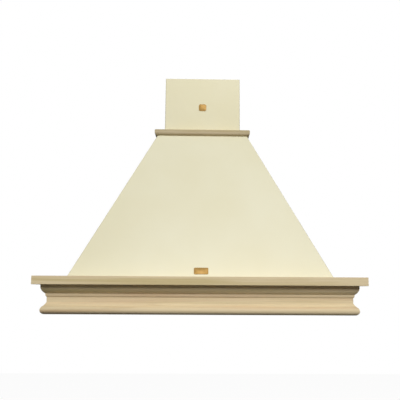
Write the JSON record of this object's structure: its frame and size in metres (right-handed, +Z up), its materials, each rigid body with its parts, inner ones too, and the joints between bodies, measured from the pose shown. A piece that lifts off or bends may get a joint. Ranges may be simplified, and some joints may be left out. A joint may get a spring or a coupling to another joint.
{
  "type": "wall chimney cooker hood",
  "caption": "Wall-mounted country-style cooker hood: a painted sloping canopy and chimney cover on an oak shelf with a profiled moulding, with its fan, filters and lamps inside.",
  "frame": {"origin": "middle of the hood's lower edge on the wall plane", "axes": "+Z up; +Y into the wall, out of the flat back; +X to the right as seen from the front, along the shelf"},
  "size_m": [0.9, 0.5, 0.767],
  "materials": {
    "oak": "bare sanded oak",
    "cream_paint": "satin powder coat",
    "galvanised": "galvanised sheet",
    "brass": "satin brass",
    "screw_steel": "zinc-plated",
    "rivet_aluminium": "satin",
    "filter_aluminium": "satin",
    "motor_paint": "semi-gloss",
    "dark_plastic": "matte",
    "control_trim": "brushed",
    "slider_plastic": "satin",
    "light_plastic": "matte",
    "lamp_tin": "bright",
    "lamp_lens": "frosted",
    "lamp_glass": "clear"
  },
  "bodies": {
    "hood": {"shelf_front": "oak", "shelf_left": "oak", "shelf_right": "oak", "shelf_splines": "oak", "moulding_front": "oak", "moulding_left": "oak", "moulding_right": "oak", "cornice_front": "oak", "cornice_left": "oak", "cornice_right": "oak", "canopy_shell": "cream_paint", "chimney_cover": "cream_paint", "bottom_panel": "cream_paint", "back_panel": "galvanised", "fan_support": "galvanised", "scroll_left": "galvanised", "scroll_right": "galvanised", "motor_bracket": "galvanised", "chimney_badge": "brass", "name_plate": "brass", "cornice_screws": "screw_steel", "canopy_screws": "screw_steel", "chimney_screws": "screw_steel", "panel_screws": "screw_steel", "scroll_screws": "screw_steel", "motor_screws": "screw_steel", "fan_screws": "screw_steel", "damper_pin": "screw_steel", "rivets": "rivet_aluminium", "motor": "motor_paint", "outlet_adapter": "dark_plastic", "terminal_box": "dark_plastic", "switch_housing": "dark_plastic", "cable_gland": "dark_plastic", "control_plate": "control_trim", "lamp_bezel_right": "control_trim", "lamp_bezel_left": "control_trim", "terminal_block": "light_plastic", "capacitor": "light_plastic", "lamp_can_right": "lamp_tin", "lamp_can_left": "lamp_tin", "lamp_lens_right": "lamp_lens", "lamp_lens_left": "lamp_lens", "lamp_bulb_right": "lamp_glass", "lamp_bulb_left": "lamp_glass"},
    "chimney_extension": {"chimney_extension": "galvanised", "chimney_bracket": "galvanised", "bracket_screws": "screw_steel"},
    "filter_right": {"filter_frame_right": "filter_aluminium", "filter_mesh_right": "filter_aluminium"},
    "filter_left": {"filter_frame_left": "filter_aluminium", "filter_mesh_left": "filter_aluminium"},
    "ring_right": {"filter_ring_right": "screw_steel"},
    "ring_left": {"filter_ring_left": "screw_steel"},
    "flap_rear": {"damper_flap_rear": "dark_plastic"},
    "flap_front": {"damper_flap_front": "dark_plastic"},
    "impeller": {"impeller": "galvanised", "motor_shaft": "screw_steel"},
    "speed_slider": {"speed_slider": "slider_plastic"},
    "light_slider": {"light_slider": "slider_plastic"}
  },
  "joints": [
    {"name": "extension_slide", "type": "slide", "parent": "hood", "child": "chimney_extension", "axis": [0, 0, 1], "range_m": [0, 0.15]},
    {"name": "filter_right_hinge", "type": "hinge", "parent": "hood", "child": "filter_right", "pos_m": [0.155, -0.06, 0.031], "axis": [1, 0, 0], "range_deg": [0, 75]},
    {"name": "filter_left_hinge", "type": "hinge", "parent": "hood", "child": "filter_left", "pos_m": [-0.155, -0.06, 0.031], "axis": [1, 0, 0], "range_deg": [0, 75]},
    {"name": "ring_right_swing", "type": "hinge", "parent": "filter_right", "child": "ring_right", "pos_m": [0.155, -0.3425, 0.0276], "axis": [1, 0, 0], "range_deg": [-80, 80]},
    {"name": "ring_left_swing", "type": "hinge", "parent": "filter_left", "child": "ring_left", "pos_m": [-0.155, -0.3425, 0.0276], "axis": [1, 0, 0], "range_deg": [-80, 80]},
    {"name": "flap_rear_hinge", "type": "hinge", "parent": "hood", "child": "flap_rear", "pos_m": [0, -0.11, 0.44], "axis": [1, 0, 0], "range_deg": [0, 75]},
    {"name": "flap_front_hinge", "type": "hinge", "parent": "hood", "child": "flap_front", "pos_m": [0, -0.11, 0.44], "axis": [-1, 0, 0], "range_deg": [0, 75]},
    {"name": "fan_spin", "type": "hinge", "parent": "hood", "child": "impeller", "pos_m": [0, -0.18654, 0.265], "axis": [1, 0, 0], "continuous": true},
    {"name": "speed_travel", "type": "slide", "parent": "hood", "child": "speed_slider", "axis": [1, 0, 0], "range_m": [0, 0.024]},
    {"name": "light_travel", "type": "slide", "parent": "hood", "child": "light_slider", "axis": [1, 0, 0], "range_m": [0, 0.008]}
  ]
}
